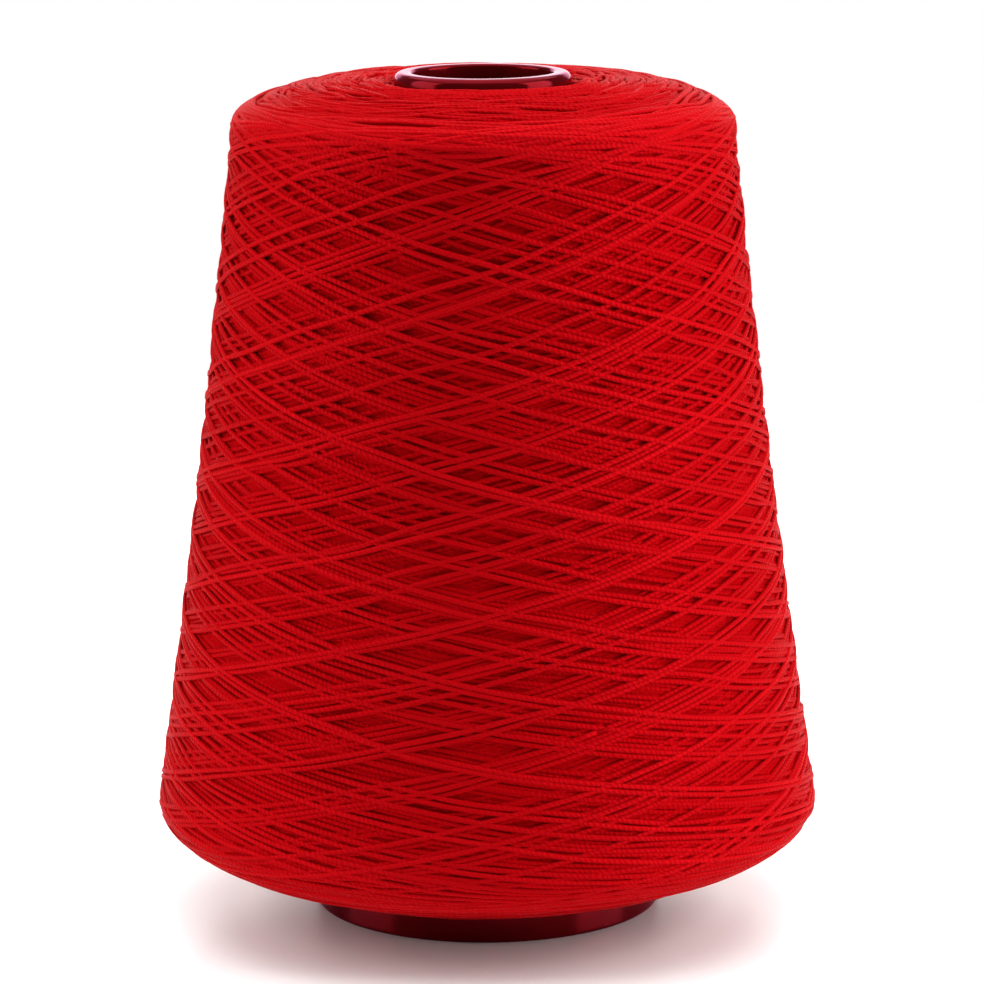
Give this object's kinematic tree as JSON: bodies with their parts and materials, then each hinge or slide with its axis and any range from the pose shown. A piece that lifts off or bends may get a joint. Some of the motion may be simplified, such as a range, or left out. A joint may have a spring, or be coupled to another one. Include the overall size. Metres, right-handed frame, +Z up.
{
  "type": "cone of thread",
  "caption": "Cone of red crosswound thread on a hollow dark plastic cone that stands on its open base ring.",
  "frame": {"origin": "centre of the cone's base ring, on the surface it stands on", "axes": "+Z up along the cone's axis, towards the nose; X and Y are any two square directions round it"},
  "size_m": [0.1346, 0.1346, 0.17],
  "materials": {
    "cone_plastic": "glossy dark maroon moulded plastic",
    "thread": "twisted red thread with a slight sheen"
  },
  "bodies": {
    "root": {"cone_core": "cone_plastic", "wound_thread": "thread"}
  },
  "joints": []
}
